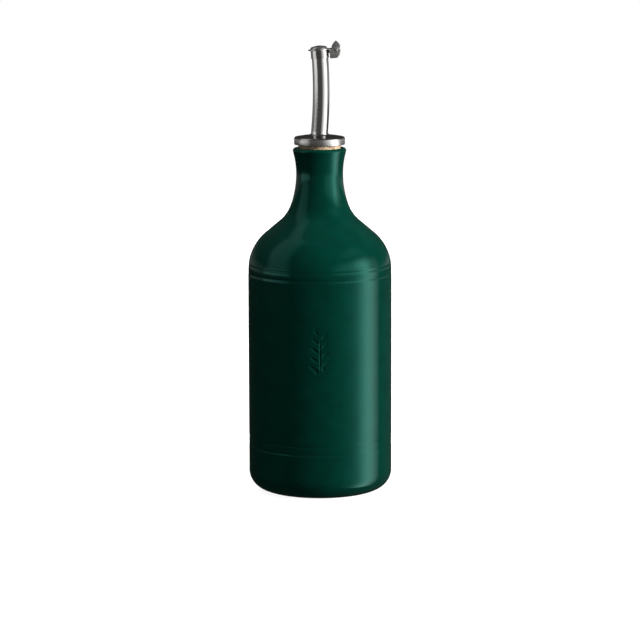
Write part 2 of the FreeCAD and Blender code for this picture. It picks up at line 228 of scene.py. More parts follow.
# %% [markdown]
# ## Glazed stoneware
# Fired clay turns dense, and the glaze melts on it into coloured glass. The eye gets a dark
# colour under sharp reflections that wander a little, because the melt ran. One flat green
# would look like plastic, so a slow noise mixes two close greens, as thicker and thinner
# glaze does, and two bumps follow: a long ripple, and a fine orange peel.

# %% Mix the glaze
GLAZE_MOTTLE = 9.0 * MM
GLAZE_RIPPLE = 14.0 * MM
GLAZE_RIPPLE_DEPTH = 0.10 * MM
# Real orange peel is finer than this. It is drawn this coarse so that it shows.
GLAZE_PEEL = 1.6 * MM
GLAZE_PEEL_DEPTH = 0.02 * MM
GLAZE_ROUGHNESS = 0.13
GLAZE_IOR = 1.5
CLAY_ROUGHNESS = 0.85
CLAY_GRIT = 0.7 * MM
BARE_HEIGHT = 0.4 * MM


def glazed_stoneware():
    """Green glass over fired clay: smooth, dark and sharply reflecting, bare at the foot."""
    material, tree, shader, place = new_material("deep_green_glaze")
    mottle = node(tree, "TexNoise", {"Vector": place},
                  {"Scale": 1 / GLAZE_MOTTLE, "Detail": 3.0, "Roughness": 0.55})
    glaze = node(tree, "ValToRGB", {0: mottle}, stops=[(0.3, "#011F18"), (0.7, "#01241C")])
    split = node(tree, "SeparateXYZ", {0: place})
    grit = node(tree, "TexNoise", {"Vector": place}, {"Scale": 1 / CLAY_GRIT, "Detail": 4.0})
    clay = node(tree, "ValToRGB", {0: grit}, stops=[(0.3, "#A88F72"), (0.7, "#C9B294")])
    # The foot ring is wiped clean so that the bottle does not stick to the kiln shelf.
    bare = node(tree, "Math", {0: split.outputs["Z"]}, {1: BARE_HEIGHT}, operation="LESS_THAN")
    colour = node(tree, "Mix", {0: bare, 6: glaze, 7: clay}, data_type="RGBA")
    rough = node(tree, "MapRange", {0: bare}, {"To Min": GLAZE_ROUGHNESS, "To Max": CLAY_ROUGHNESS})
    ripple = node(tree, "TexNoise", {"Vector": place}, {"Scale": 1 / GLAZE_RIPPLE, "Detail": 1.0})
    peel = node(tree, "TexNoise", {"Vector": place}, {"Scale": 1 / GLAZE_PEEL, "Detail": 2.0})
    waves = node(tree, "Bump", {"Height": ripple}, {"Strength": 0.5, "Distance": GLAZE_RIPPLE_DEPTH})
    skin = node(tree, "Bump", {"Height": peel, "Normal": waves},
                {"Strength": 0.35, "Distance": GLAZE_PEEL_DEPTH})
    link(shader, {"Base Color": colour.outputs[2], "Roughness": rough, "Normal": skin})
    shader.inputs["IOR"].default_value = GLAZE_IOR
    # Light that goes a little way into the melt comes back green, so the shine is tinted.
    shader.inputs["Specular Tint"].default_value = linear("#7CFFEB")
    return material


GLAZE = glazed_stoneware()
print(GLAZE.name, "has", len(GLAZE.node_tree.nodes), "nodes")

# %% [markdown]
# ## Agglomerated cork
# Pourer corks are ground cork pressed together again: angular granules in several warm
# browns, dark pores, and no shine. A wood texture would draw rings, so a Voronoi pattern
# gives each granule its own colour, and a little warp bends its straight edges.

# %% Press the granules
CORK_GRANULE = 1.7 * MM
CORK_WARP = 1.2 * MM
CORK_WARP_REACH = 0.8 * MM
CORK_PORE = 0.55 * MM
CORK_PORE_DEPTH = 0.12 * MM
CORK_ROUGHNESS = 0.82


def agglomerated_cork():
    """Pressed cork granules: matt, warm, and spotted with dark pores."""
    material, tree, shader, place = new_material("agglomerated_cork")
    warp = node(tree, "TexNoise", {"Vector": place}, {"Scale": 1 / CORK_WARP, "Detail": 2.0})
    shift = node(tree, "VectorMath", {0: warp.outputs["Color"]}, {"Scale": CORK_WARP_REACH},
                 operation="SCALE")
    moved = node(tree, "VectorMath", {0: place, 1: shift}, operation="ADD")
    granules = node(tree, "TexVoronoi", {"Vector": moved}, {"Scale": 1 / CORK_GRANULE})
    tone = node(tree, "SeparateColor", {0: granules.outputs["Color"]})
    body = node(tree, "ValToRGB", {0: tone},
                stops=[(0.0, "#7E6954"), (0.35, "#938067"), (0.75, "#A89579"), (1.0, "#74593F")])
    pores = node(tree, "TexNoise", {"Vector": place}, {"Scale": 1 / CORK_PORE, "Detail": 5.0})
    dark = node(tree, "ValToRGB", {0: pores}, stops=[(0.30, "#5A3B26"), (0.42, WHITE)])
    colour = node(tree, "Mix", {6: body, 7: dark}, {0: 0.85}, data_type="RGBA", blend_type="MULTIPLY")
    relief = node(tree, "Bump", {"Height": pores}, {"Strength": 0.6, "Distance": CORK_PORE_DEPTH})
    link(shader, {"Base Color": colour.outputs[2], "Normal": relief})
    shader.inputs["Roughness"].default_value = CORK_ROUGHNESS
    return material


CORK = agglomerated_cork()
print(CORK.name, "has", len(CORK.node_tree.nodes), "nodes")

# %% [markdown]
# ## Stainless steel, polished and tumbled
# The tube is drawn and buffed nearly to a mirror, and the small castings only roll in a
# drum of stones, which leaves them satin and faintly dented. Two materials could be mixed,
# but one function of how matt the steel is keeps them a family: it sets the roughness, the
# dents, and a little less metal where the steel is more matt. The share is one number on most
# pieces, and follows the place on the two that are finished in two ways.

# %% Polish and tumble the steel
# Polishing lines are finer than this on real steel. They are drawn this coarse to show.
POLISH_LINE = 0.5 * MM
POLISH_LINE_DEPTH = 0.003 * MM
LINE_STRETCH = 0.12
SMUDGE_SIZE = 6 * MM
DENT_SIZE = 0.9 * MM
DENT_DEPTH = 0.07 * MM
POLISHED_ROUGHNESS = 0.13
TUMBLED_ROUGHNESS = 0.36
ROUGHNESS_SPREAD = 0.04
TUMBLED_METAL = 0.93


def stainless_steel(name, colour, matt):
    """Steel that is mirror polished where matt is 0 and tumbled where it is 1.

    matt is one number for the whole piece, or a function that gives a share by place."""
    material, tree, shader, place = new_material(name)
    shader.inputs["Base Color"].default_value = linear(colour)
    stretch = node(tree, "Mapping", {0: place}, {"Scale": (1.0, 1.0, LINE_STRETCH)})
    lines = node(tree, "TexNoise", {"Vector": stretch},
                 {"Scale": 1 / POLISH_LINE, "Detail": 4.0, "Roughness": 0.6})
    smudge = node(tree, "TexNoise", {"Vector": place}, {"Scale": 1 / SMUDGE_SIZE, "Detail": 2.0})
    both = node(tree, "Math", {0: lines, 1: smudge}, operation="ADD")
    gloss = node(tree, "MapRange", {0: both},
                 {"From Min": 0.6, "From Max": 1.4,
                  "To Min": -ROUGHNESS_SPREAD, "To Max": ROUGHNESS_SPREAD})
    rough = node(tree, "Math", {0: gloss}, operation="ADD")
    polish = node(tree, "Bump", {"Height": lines}, {"Strength": 0.3, "Distance": POLISH_LINE_DEPTH})
    dents = node(tree, "TexNoise", {"Vector": place}, {"Scale": 1 / DENT_SIZE, "Detail": 3.0})
    tumbled = node(tree, "Bump", {"Height": dents, "Normal": polish}, {"Distance": DENT_DEPTH})
    link(shader, {"Roughness": rough, "Normal": tumbled})
    if callable(matt):
        share = matt(tree, place)
        link(rough, {1: node(tree, "MapRange", {0: share},
                             {"To Min": POLISHED_ROUGHNESS, "To Max": TUMBLED_ROUGHNESS})})
        link(shader, {"Metallic": node(tree, "MapRange", {0: share},
                                       {"To Min": 1.0, "To Max": TUMBLED_METAL})})
        link(tumbled, {"Strength": share})
    else:
        more = (TUMBLED_ROUGHNESS - POLISHED_ROUGHNESS) * matt
        rough.inputs[1].default_value = POLISHED_ROUGHNESS + more
        shader.inputs["Metallic"].default_value = 1.0 - (1.0 - TUMBLED_METAL) * matt
        tumbled.inputs["Strength"].default_value = matt
    return material


# %% One steel for each finish
cap_low, cap_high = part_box("pourer_cap")
SKIRT_SHARE = 0.55
SKIRT_FADE = (2.9 * MM, 3.7 * MM)
BAND_EDGE_X = (4.9 * MM, 5.3 * MM)


def skirt_share(tree, place):
    """0 on the buffed crown of the disc, and more on the skirt, which is left as spun."""
    up = node(tree, "SeparateXYZ", {0: place})
    return node(tree, "MapRange", {0: up.outputs["Z"]},
                {"From Min": cap_low.z + SKIRT_FADE[0], "From Max": cap_low.z + SKIRT_FADE[1],
                 "To Min": SKIRT_SHARE, "To Max": 0.0})


def bracket_share(tree, place):
    """0 on the band, which is buffed with the tube, and 1 on the bracket beside it."""
    across = node(tree, "SeparateXYZ", {0: place})
    return node(tree, "MapRange", {0: across.outputs["X"]},
                {"From Min": BAND_EDGE_X[0], "From Max": BAND_EDGE_X[1]})


POLISHED = stainless_steel("polished_stainless", "#E2E1DE", 0.0)
PRESSED = stainless_steel("pressed_stainless", "#E2E1DE", 0.4)
SPUN = stainless_steel("spun_stainless", "#DEDCD8", skirt_share)
COLLAR_STEEL = stainless_steel("collar_stainless", "#CFCECB", bracket_share)
TUMBLED = stainless_steel("tumbled_stainless", "#BEBDBA", 1.0)
print("steels:", [steel.name for steel in (POLISHED, PRESSED, SPUN, COLLAR_STEEL, TUMBLED)])


# %% Dressing a finished piece
def dress(piece, material, body, slot_name, *nodes):
    """Give a finished piece its material and body, and hide the CAD nodes it stands for. The slot name is
    not used.
    """
    piece.data.materials.clear()
    piece.data.materials.append(material)
    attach(piece, body)
    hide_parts(*nodes)
    print(piece.name, sum(len(face.vertices) - 2 for face in piece.data.polygons), "triangles")
    return piece


# %% [markdown]
# ## The bottle
# The real one is slip-cast or thrown stoneware: a straight wall, a rounded shoulder, a
# neck that flares to a full-round lip, and two pairs of fine turned grooves. A subdivided
# cylinder could be pushed into this shape, but the form has one axis, so spinning a true
# outline gives even faces, exact arcs and clean reflections.

# %% Bottle sizes
BODY_WALL = 4.8 * MM
BODY_FLOOR = 5.0 * MM
FLOOR_RING = 0.4
SHOULDER_RADIUS = 25.1 * MM
SHOULDER_ANGLE = 49.9
NECK_RADIUS = 12.2 * MM
NECK_DROP = 13.6 * MM
NECK_ARC_RADIUS = 46.3 * MM
NECK_ARC_ANGLE = 21.1
NECK_ROOT_RADIUS = 18.9 * MM
INNER_ROOT_RADIUS = 23.0 * MM
INNER_FLOOR_FILLET = 7.0 * MM
FOOT_INSET = 7.9 * MM
FOOT_ROUND_HEIGHT = 9.8 * MM
FOOT_ROUND_SHARE = 0.96
FOOT_EDGE = ((0.3 * MM, 0.05 * MM), (0.7 * MM, 0.0))
FOOT_RING = 4.2 * MM
FOOT_RING_ROUND = 0.5 * MM
FOOT_RECESS = 1.6 * MM
FOOT_RECESS_FILLET = 0.9 * MM
FOOT_RECESS_RINGS = (0.6, 0.25, 0.0)

# %% Lip and throat, from the cork that sits in them
CORK_RADIUS = 11.25 * MM
CORK_BOTTOM_RADIUS = 9.7 * MM
CORK_GAP = 0.05 * MM
LIP_WALL = 2.65 * MM
cork_low, cork_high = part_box("cork_stopper")
cork_taper = (CORK_RADIUS - CORK_BOTTOM_RADIUS) / (cork_high.z - cork_low.z)


def cork_radius(z):
    """Radius of the tapered cork at a height."""
    return CORK_RADIUS - cork_taper * (cork_high.z - z)


lip_radius = CORK_RADIUS + LIP_WALL
lip_round = (lip_radius - cork_radius(BOTTLE_HEIGHT) - CORK_GAP) / (2 - cork_taper)
throat_radius = CORK_BOTTOM_RADIUS + CORK_GAP
print("lip", round(lip_radius / MM, 2), "mm radius, throat", round(throat_radius / MM, 2), "mm")

# %% Grooves, and how finely the wall is cut
# The glaze fills the grooves and the sunk band between each pair, so here they are
# shallower than in the packed clay, and the grooves are wider.
BAND_HEIGHTS = (26.2 * MM, 116.7 * MM)
BAND_SPACING = 4.7 * MM
BAND_SINK = 0.07 * MM
BAND_EDGE = 0.7 * MM
GROOVE_DEPTH = 0.11 * MM
GROOVE_HALF_WIDTH = 1.05 * MM
SPRIG_HEIGHT = 76.0 * MM
SPRIG_STEM = 19.0 * MM
SPRIG_REACH = 0.75 * SPRIG_STEM
WALL_STEP = 2.0 * MM
SPRIG_STEP = 1.0 * MM
BAND_STEP = 0.2 * MM
BAND_REACH = 4.0 * MM


def band_sink(z):
    """How far the turned bands sink the wall at this height."""
    sink = 0.0
    for height in BAND_HEIGHTS:
        low = height - BAND_SPACING / 2
        high = height + BAND_SPACING / 2
        rise = min(max((z - low) / BAND_EDGE + 0.5, 0), 1)
        fall = min(max((high - z) / BAND_EDGE + 0.5, 0), 1)
        sink += BAND_SINK * (rise * fall)
        for groove in (low, high):
            away = (z - groove) / GROOVE_HALF_WIDTH
            sink += (GROOVE_DEPTH - BAND_SINK / 2) * max(0.0, 1 - away * away) ** 2
    return sink


def wall_heights(top, bottom):
    """Heights down the straight wall, close together where the bands and the sprig are."""
    heights = []
    z = top
    while z > bottom:
        heights.append(z)
        near = min(abs(z - height) for height in BAND_HEIGHTS)
        plain = SPRIG_STEP if abs(z - SPRIG_HEIGHT) < SPRIG_REACH else WALL_STEP
        z -= BAND_STEP if near < BAND_REACH else plain
    return heights


# %% Bottle outline
def wall_top_height(wall_radius, shoulder_radius, root_end):
    """Where the straight wall ends, for a shoulder whose slope meets the neck at root_end."""
    slope = radians(SHOULDER_ANGLE)
    end_r = wall_radius - shoulder_radius * (1 - cos(slope))
    end_z = root_end[1] - (end_r - root_end[0]) / tan(slope)
    return end_z - shoulder_radius * sin(slope)


def foot_outline():
    """The rounded foot, its bare ring and the recess inside the ring, in to the axis."""
    foot = (FOOT_ROUND_HEIGHT ** 2 + FOOT_INSET ** 2) / (2 * FOOT_INSET)
    foot_turn = degrees(asin(FOOT_ROUND_HEIGHT / foot))
    points = arc((BODY_RADIUS - foot, FOOT_ROUND_HEIGHT), foot, 0, -foot_turn * FOOT_ROUND_SHARE, 14)
    ring_out = BODY_RADIUS - FOOT_INSET
    ring_in = ring_out - FOOT_RING
    points += [(ring_out - inset, z) for inset, z in FOOT_EDGE] + [(ring_in + FOOT_RING_ROUND, 0.0)]
    points += arc((ring_in + FOOT_RING_ROUND, FOOT_RING_ROUND), FOOT_RING_ROUND, -90, -180, 4)[1:]
    points += arc((ring_in - FOOT_RECESS_FILLET, FOOT_RECESS - FOOT_RECESS_FILLET),
                  FOOT_RECESS_FILLET, 0, 90, 5)
    return points + [(ring_in * share, FOOT_RECESS) for share in FOOT_RECESS_RINGS]


def inside_outline(outer_root_end, lip):
    """The hollow, from the middle of its floor up to the lip, a wall inside the outside."""
    inner = BODY_RADIUS - BODY_WALL
    inner_shoulder = SHOULDER_RADIUS - BODY_WALL
    floor = FOOT_RECESS + BODY_FLOOR
    slope = radians(SHOULDER_ANGLE)
    root_r = throat_radius + INNER_ROOT_RADIUS * (1 - cos(slope))
    step = BODY_WALL - (outer_root_end[0] - root_r) * cos(slope)
    root = (root_r, outer_root_end[1] - step / sin(slope))
    throat = root[1] + INNER_ROOT_RADIUS * sin(slope)
    wall_top = wall_top_height(inner, inner_shoulder, root)
    points = [(0.0, floor), (inner * FLOOR_RING, floor)]
    points += arc((inner - INNER_FLOOR_FILLET, floor + INNER_FLOOR_FILLET), INNER_FLOOR_FILLET, -90, 0, 8)
    points += arc((inner - SHOULDER_RADIUS + BODY_WALL, wall_top), inner_shoulder, 0, SHOULDER_ANGLE, 14)
    points += arc((throat_radius + INNER_ROOT_RADIUS, throat), INNER_ROOT_RADIUS,
                  180 + SHOULDER_ANGLE, 180, 14)
    return points + arc(lip, lip_round, 180, 90, 8)


def bottle_outline():
    """The whole section, from the top of the lip down the outside, and up the inside."""
    waist = BOTTLE_HEIGHT - NECK_DROP
    lip = (lip_radius - lip_round, BOTTLE_HEIGHT - lip_round)
    rise = lip[1] - waist
    step = lip[0] - NECK_RADIUS
    flare = (rise ** 2 + step ** 2 - lip_round ** 2) / (2 * (step + lip_round))
    touch = degrees(atan2(rise, step - flare))
    points = arc(lip, lip_round, 90, touch - 180, 14)
    points += arc((NECK_RADIUS + flare, waist), flare, touch, 180, 12)[1:]
    upper = arc((NECK_RADIUS + NECK_ARC_RADIUS, waist), NECK_ARC_RADIUS, 180, 180 + NECK_ARC_ANGLE, 14)
    points += upper[1:]
    turn = radians(NECK_ARC_ANGLE)
    centre = (upper[-1][0] + NECK_ROOT_RADIUS * cos(turn), upper[-1][1] + NECK_ROOT_RADIUS * sin(turn))
    root = arc(centre, NECK_ROOT_RADIUS, 180 + NECK_ARC_ANGLE, 180 + SHOULDER_ANGLE, 12)
    points += root[1:]
    wall_top = wall_top_height(BODY_RADIUS, SHOULDER_RADIUS, root[-1])
    shoulder = arc((BODY_RADIUS - SHOULDER_RADIUS, wall_top), SHOULDER_RADIUS, SHOULDER_ANGLE, 0, 92)
    wall = [(BODY_RADIUS, z) for z in wall_heights(wall_top, FOOT_ROUND_HEIGHT)[1:]]
    points += [(r - band_sink(z), z) for r, z in shoulder + wall]
    return points + foot_outline() + inside_outline(root[-1], lip)


# %% Spin the bottle
bottle = lathe("bottle_body", bottle_outline(), steps=256)
print(bottle.name, "spun with", len(bottle.data.vertices), "points")

# %% [markdown]
# ## The pressed sprig
# A small mark is pressed into the front of the soft clay before firing, and the glaze runs
# over it and rounds its edges. Here it is a plain olive sprig: one stem, leaves to left and
# right in turn, and two olives. Bump in the glaze would leave the mesh flat, so the wall is
# cut finer there, and each point is pressed in along the wall's own radius.

# %% Sprig shape
SPRIG_DEPTH = 0.28 * MM
# In shares of an oval's size: where its soft rim ends, and how wide the rim is.
SPRIG_RIM = (1.1, 0.55)
SPRIG_LEAVES = 9
STEM_WIDTH = 0.9 * MM
STEM_BELOW = 0.42
LEAF_REACH = 3.1 * MM
LEAF_SHORTENING = 0.13 * MM
LEAF_RISE = 1.3 * MM
LEAF_TILT = 52
# In shares of how far the leaf reaches out from the stem.
LEAF_LENGTH = 2.1
LEAF_WIDTH = 0.62
OLIVES = ((1.7 * MM, -6.6 * MM), (-1.8 * MM, -8.3 * MM))
OLIVE_SIZE = (2.5 * MM, 2.0 * MM)


def sprig_ovals():
    """Centre, tilt in degrees, length and width of the stem, the leaves and the olives."""
    ovals = [(0.0, 0.0, 0.0, SPRIG_STEM, STEM_WIDTH)]
    for count in range(SPRIG_LEAVES):
        side = 1 if count % 2 else -1
        up = SPRIG_STEM * (count / (SPRIG_LEAVES - 1) - STEM_BELOW)
        reach = LEAF_REACH - LEAF_SHORTENING * count
        ovals.append((side * reach, up + LEAF_RISE, -side * LEAF_TILT,
                      LEAF_LENGTH * reach, LEAF_WIDTH * reach))
    for x, z in OLIVES:
        ovals.append((x, z, 0.0, *OLIVE_SIZE))
    return ovals


def pressed_depth(ovals, across, up):
    """How deep the stamp goes at a place on the unrolled wall, with soft rims."""
    rim_end, rim_width = SPRIG_RIM
    deepest = 0.0
    for x, z, tilt, length, width in ovals:
        turn = radians(tilt)
        aside = (across - x) * cos(turn) + (up - z) * sin(turn)
        along = (up - z) * cos(turn) - (across - x) * sin(turn)
        share = min(max((rim_end - hypot(2 * aside / width, 2 * along / length)) / rim_width, 0), 1)
        deepest = max(deepest, share * share * (3 - 2 * share))
    return SPRIG_DEPTH * deepest


# %% Press the sprig
SPRIG_HALF_WIDTH = 6.0 * MM
SPRIG_HALF_HEIGHT = 0.7 * SPRIG_STEM
SPRIG_CUTS = 4
# The grooves and the sprig stay soft up to this turn, as glaze rounds them.
GLAZED_EDGE_ANGLE = 40


def press_sprig(piece):
    """Cut the front of the wall finer, and press the sprig into it."""
    alone(piece)
    bpy.ops.object.mode_set(mode="EDIT")
    bpy.ops.mesh.select_mode(type="FACE")
    bpy.ops.mesh.select_all(action="DESELECT")
    leave_edit()
    for face in piece.data.polygons:
        x, y, z = face.center
        at_front = y < 0 and abs(x) < SPRIG_HALF_WIDTH and abs(z - SPRIG_HEIGHT) < SPRIG_HALF_HEIGHT
        face.select = at_front and hypot(x, y) > BODY_RADIUS - MM
    bpy.ops.object.mode_set(mode="EDIT")
    bpy.ops.mesh.subdivide(number_cuts=SPRIG_CUTS)
    leave_edit()
    ovals = sprig_ovals()
    moved = [corner for corner in piece.data.vertices if corner.select]
    for corner in moved:
        x, y, z = corner.co
        turn = atan2(x, -y)
        radius = BODY_RADIUS - band_sink(z) - pressed_depth(ovals, BODY_RADIUS * turn, z - SPRIG_HEIGHT)
        corner.co = (radius * sin(turn), -radius * cos(turn), z)
    print(len(moved), "points pressed")
    return piece


press_sprig(bottle)
smooth(bottle, GLAZED_EDGE_ANGLE)
dress(bottle, GLAZE, "cruet", "glazed_stoneware", "bottle")

# %% [markdown]
# ## The cork
# The stopper is turned on a lathe. Only a narrow ring shows below the steel disc, but all
# of it is made. It could be a cone with a hole cut through it, but spinning its section
# gives the taper, the chamfer and the hole at once.

# %% Turn the cork
CORK_CHAMFER = 0.6 * MM
CORK_RINGS = 12
TUBE_FOOT_RADIUS = 4.4 * MM
HOLE_PLAY = 0.02 * MM

hole = TUBE_FOOT_RADIUS + HOLE_PLAY
cork_points = [(hole, cork_low.z), (CORK_BOTTOM_RADIUS - CORK_CHAMFER, cork_low.z),
               (CORK_BOTTOM_RADIUS, cork_low.z + CORK_CHAMFER)]
for step in range(1, CORK_RINGS + 1):
    z = cork_low.z + CORK_CHAMFER + (cork_high.z - cork_low.z - CORK_CHAMFER) * step / CORK_RINGS
    cork_points.append((cork_radius(z), z))
cork_points += [(hole, cork_high.z), (hole, cork_low.z)]
cork = smooth(lathe("cork_stopper_turned", cork_points, steps=96))
dress(cork, CORK, "cruet", "cork", "cork_stopper")

# %% [markdown]
# ## The steel disc
# A press draws the disc from sheet: a nearly flat crown, a tight round corner, a short
# skirt, and a hub that grips the tube. A cylinder could be bevelled and thickened, but one
# spun outline gives both faces. The crown rises a little more here than in the packed
# solid, and the hub's fillet is smaller to leave it room.

# %% Press the disc
CAP_RADIUS = cap_high.x
CAP_HEIGHT = 4.0 * MM
CAP_SHEET = 0.7 * MM
CAP_CORNER = 0.9 * MM
CAP_CROWN = 1.2 * MM
CAP_EDGE_ROUND = 0.25 * MM
CAP_HUB_WALL = 0.35 * MM
CAP_HUB_FILLET = 0.5 * MM
CAP_HUB_CHAMFER = 0.08 * MM
CAP_RINGS = 8
CAP_INNER_RINGS = 6
cap_top = cap_low.z + CAP_HEIGHT
cap_flat = CAP_RADIUS - CAP_CORNER
hub_rim = cap_high.z


def crown_height(r):
    """Height of the crown's outer face at this radius."""
    radius = (cap_flat ** 2 + CAP_CROWN ** 2) / (2 * CAP_CROWN)
    return cap_top + sqrt(radius ** 2 - r ** 2) - sqrt(radius ** 2 - cap_flat ** 2)


hub = hole + CAP_HUB_WALL
fillet_end = hub + CAP_HUB_FILLET
corner_centre = (cap_flat, cap_top - CAP_CORNER)
cap_points = [(hole, hub_rim), (hub - CAP_HUB_CHAMFER, hub_rim), (hub, hub_rim - CAP_HUB_CHAMFER)]
cap_points += arc((fillet_end, crown_height(fillet_end) + CAP_HUB_FILLET), CAP_HUB_FILLET, 180, 270, 8)
for step in range(1, CAP_RINGS + 1):
    r = fillet_end + (cap_flat - hub - CAP_HUB_FILLET) * step / CAP_RINGS
    cap_points.append((r, crown_height(r)))
cap_points += arc(corner_centre, CAP_CORNER, 90, 0, 8)[1:]
cap_points += arc((CAP_RADIUS - CAP_EDGE_ROUND, cap_low.z + CAP_EDGE_ROUND), CAP_EDGE_ROUND, 0, -90, 4)
cap_points += [(CAP_RADIUS - CAP_SHEET, cap_low.z)]
cap_points += arc(corner_centre, CAP_CORNER - CAP_SHEET, 0, 90, 3)
for step in reversed(range(CAP_INNER_RINGS)):
    r = hole + (cap_flat - hole) * step / CAP_INNER_RINGS
    cap_points.append((r, crown_height(r) - CAP_SHEET))
cap_points.append(cap_points[0])
cap = smooth(lathe("pourer_disc", cap_points, steps=128))
dress(cap, SPUN, "cruet", "polished_steel", "pourer_cap")

# %% [markdown]
# ## The bowed tube
# The spout is a drawn tube that a bender has eased into a slow curve. A curve object with
# a round bevel would do, but growing the tube ring by ring, each ring moved, turned and
# slightly narrowed, keeps full control of the taper and gives a mesh at once.

# %% Shape of the bow
TUBE_HEIGHT = 44.8 * MM
TUBE_LEAD_RADIUS = 18.0 * MM
TUBE_BOW_RISE = 0.87 * MM
LEAD_RINGS = 3
BOW_RINGS = 36
tube_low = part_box("spout_tube")[0]
bow_reach = cap_top + TUBE_HEIGHT - hub_rim
# A short lead-in bends the tube out of the hub, and the long bow bends it back. Each
# depends on the other's angle, which settles in a few rounds.
turn = 0.0
for _ in range(12):
    turn = 2 * atan(2 * TUBE_BOW_RISE / (bow_reach - TUBE_LEAD_RADIUS * sin(turn)))
bow_angle = degrees(turn)
bow_span = bow_reach - TUBE_LEAD_RADIUS * sin(radians(bow_angle))
bow_radius = bow_span / 2 / sin(radians(bow_angle))
lead_x = TUBE_LEAD_RADIUS * (1 - cos(radians(bow_angle)))
tip = Vector((lead_x, 0, cap_top + TUBE_HEIGHT))
print("the tube leans", round(bow_angle, 2), "degrees where the lead-in ends and at its tip")


def tube_rings():
    """(x, height, lean in degrees) of each ring, from the foot to the tip."""
    rings = [(0.0, tube_low.z, 0.0), (0.0, cap_low.z, 0.0), (0.0, hub_rim, 0.0)]
    for step in range(1, LEAD_RINGS + 1):
        angle = bow_angle * step / LEAD_RINGS
        rings.append((TUBE_LEAD_RADIUS * (1 - cos(radians(angle))),
                      hub_rim + TUBE_LEAD_RADIUS * sin(radians(angle)), angle))
    middle = tip.z - bow_span / 2
    for step in range(1, BOW_RINGS + 1):
        angle = bow_angle * (1 - 2 * step / BOW_RINGS)
        rings.append((lead_x + bow_radius * (cos(radians(angle)) - cos(radians(bow_angle))),
                      middle - bow_radius * sin(radians(angle)), angle))
    return rings


# %% Grow the tube
TUBE_TIP_RADIUS = 4.25 * MM
TUBE_WALL = 0.6 * MM


def grow_tube(name, sides):
    """A tapered tube's outer skin, extruded from ring to ring."""
    rings = tube_rings()
    piece = settle(begin(name, bpy.ops.mesh.primitive_circle_add, vertices=sides,
                         radius=TUBE_FOOT_RADIUS, location=(rings[0][0], 0, rings[0][1])))
    edit_all(piece)
    radius = TUBE_FOOT_RADIUS
    for before, after in zip(rings, rings[1:]):
        step = (after[0] - before[0], 0, after[1] - before[1])
        centre = (after[0], 0, after[1])
        share = max((after[1] - hub_rim) / (tip.z - hub_rim), 0)
        wanted = TUBE_FOOT_RADIUS + (TUBE_TIP_RADIUS - TUBE_FOOT_RADIUS) * share
        bpy.ops.mesh.extrude_region_move(TRANSFORM_OT_translate={"value": step})
        # In a script with no window, this operator turns the other way round.
        bpy.ops.transform.rotate(value=-radians(after[2] - before[2]), orient_axis="Y",
                                 center_override=centre)
        bpy.ops.transform.resize(value=[wanted / radius] * 3, center_override=centre)
        radius = wanted
    leave_edit()
    return shut_and_face_out(piece)


tube = grow_tube("spout_tube_drawn", 96)
modify(tube, "SOLIDIFY", thickness=TUBE_WALL, offset=-1.0, use_even_offset=True)
smooth(tube)
dress(tube, POLISHED, "cruet", "polished_steel", "spout_tube")

# %% [markdown]
# ## The head
# A collar with a cast bracket is pressed over the tip, and a pin through the bracket's ears
# carries the flap. The tip leans, and the pieces could be modelled leaning, but then no
# size would lie along an axis. So all are drawn upright at the origin, and then leaned and
# carried to the tip as a fitter would.

# %% Where the pin goes
PIN_OFFSET = 8.6 * MM
PIN_DROP = 0.2 * MM
pin_at = (PIN_OFFSET, -PIN_DROP)


def lay_across(piece):
    """Lay an upright piece down along Y, on the pin's line."""
    piece.rotation_euler = (radians(90), 0, 0)
    piece.location = (pin_at[0], 0, pin_at[1])
    return settle(piece)


def seat_on_tip(piece):
    """Lean a piece with the tube and carry it to the tip."""
    piece.rotation_euler = (0, -radians(bow_angle), 0)
    piece.location = tip
    return settle(piece)


# %% Plates, cutters and edges
BEVEL_ANGLE = 40


def touch_angle(outside, centre, radius, side):
    """Where the tangent from an outside point touches a circle, in degrees."""
    away = (outside[0] - centre[0], outside[1] - centre[1])
    heading = degrees(atan2(away[1], away[0]))
    return (heading + side * degrees(acos(min(radius / hypot(*away), 1)))) % 360


def plate(name, points, width):
    """Fill a closed outline and extrude it across Y, centred on Y = 0."""
    piece = draw_chain(name, points)
    edit_all(piece)
    bpy.ops.mesh.edge_face_add()
    bpy.ops.transform.translate(value=(0, -width / 2, 0))
    bpy.ops.mesh.extrude_region_move(TRANSFORM_OT_translate={"value": (0, width, 0)})
    leave_edit()
    return shut_and_face_out(piece)


def block(name, low, high):
    """A box between two corners, to cut with or to join on."""
    piece = begin(name, bpy.ops.mesh.primitive_cube_add, size=1)
    piece.location = [(a + b) / 2 for a, b in zip(low, high)]
    piece.scale = [b - a for a, b in zip(low, high)]
    return settle(piece)


def carve(piece, cutter, operation="DIFFERENCE"):
    """Boolean one mesh with another and throw the cutter away."""
    modify(piece, "BOOLEAN", operation=operation, solver="EXACT", object=cutter)
    bpy.data.objects.remove(cutter)
    return piece


def round_edges(piece, width, segments):
    """Bevel only the edges that turn sharply."""
    return modify(piece, "BEVEL", width=width, segments=segments, limit_method="ANGLE",
                  angle_limit=radians(BEVEL_ANGLE))


def mend_cuts(piece):
    """Drop the slivers that a bevel or a cut leaves, and close any pinhole beside them."""
    edit_all(piece)
    bpy.ops.mesh.dissolve_degenerate(threshold=WELD_GAP)
    bpy.ops.mesh.select_all(action="SELECT")
    bpy.ops.mesh.fill_holes(sides=6)
    leave_edit()
    return shut_and_face_out(piece, WELD_GAP / 2)


# %% [markdown]
# ## Collar and bracket
# The band is a ring of thin sheet, so it is spun. The bracket is a casting: a side outline
# given its width, a bridge to the band, and a slot that leaves two ears. A boolean cuts the
# slot, as deep as the lever's back corner needs when the flap stands fully open.

